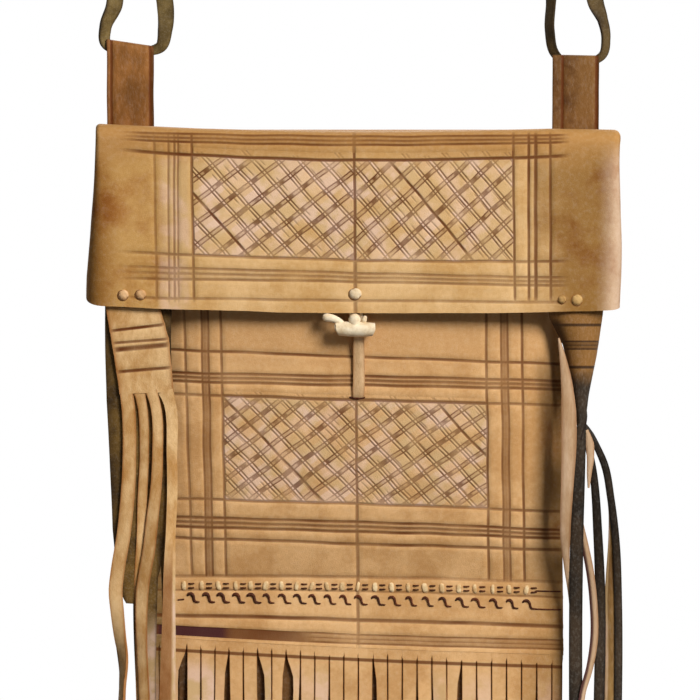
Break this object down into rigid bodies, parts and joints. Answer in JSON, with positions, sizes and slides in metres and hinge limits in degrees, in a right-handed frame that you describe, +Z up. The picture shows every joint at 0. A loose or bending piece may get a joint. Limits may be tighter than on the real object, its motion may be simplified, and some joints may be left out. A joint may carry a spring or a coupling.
{
  "type": "embossed leather bag",
  "caption": "Hand-made leather shoulder bag: a fringed pouch with a deep tooled flap, a rolled toggle and loop, hanging side tassels and a strap loop at each shoulder.",
  "frame": {"origin": "the hanging point, midway between the insides of the two strap loops' tops", "axes": "+X to the right seen from the front, -Y towards the front, +Z up as the bag hangs"},
  "size_m": [0.302, 0.0412, 0.5307],
  "materials": {
    "hide": "tooled vegetable-tanned hide, worn",
    "tab_hide": "brown strap leather with creased edges",
    "strap_hide": "narrow olive-brown strap",
    "thong": "pale undyed thong",
    "tassel_hide": "tan hide cut into strands",
    "dark_tassel_hide": "the same hide, darkened with use"
  },
  "bodies": {
    "pouch": {"back_panel": "hide", "front_panel": "hide", "rear_yoke": "hide", "left_strap_tab": "tab_hide", "right_strap_tab": "tab_hide", "left_strap_loop": "strap_hide", "right_strap_loop": "strap_hide", "left_tab_lace": "thong", "right_tab_lace": "thong", "bottom_lacing": "thong", "closing_strip": "thong", "toggle_roll": "thong"},
    "flap": {"flap": "hide", "loop_knot": "thong", "closing_loop": "thong", "left_corner_lace": "thong", "right_corner_lace": "thong"},
    "left_tassel": {"left_tassel": "tassel_hide"},
    "right_tassel": {"right_tassel": "dark_tassel_hide"}
  },
  "joints": [
    {"name": "flap_hinge", "type": "hinge", "parent": "pouch", "child": "flap", "pos_m": [0, -0.0045, -0.1088], "axis": [-1, 0, 0], "range_deg": [0, 90], "deforming": ["closing_loop"]},
    {"name": "left_tassel_swing", "type": "hinge", "parent": "flap", "child": "left_tassel", "pos_m": [-0.1267, -0.0304, -0.206], "axis": [-1, 0, 0], "range_deg": [-90, 0]},
    {"name": "right_tassel_swing", "type": "hinge", "parent": "flap", "child": "right_tassel", "pos_m": [0.1267, -0.0304, -0.206], "axis": [-1, 0, 0], "range_deg": [-90, 0]}
  ],
  "couplings": [
    {"joint": "left_tassel_swing", "follows": "flap_hinge", "ratio": -1},
    {"joint": "right_tassel_swing", "follows": "flap_hinge", "ratio": -1}
  ]
}
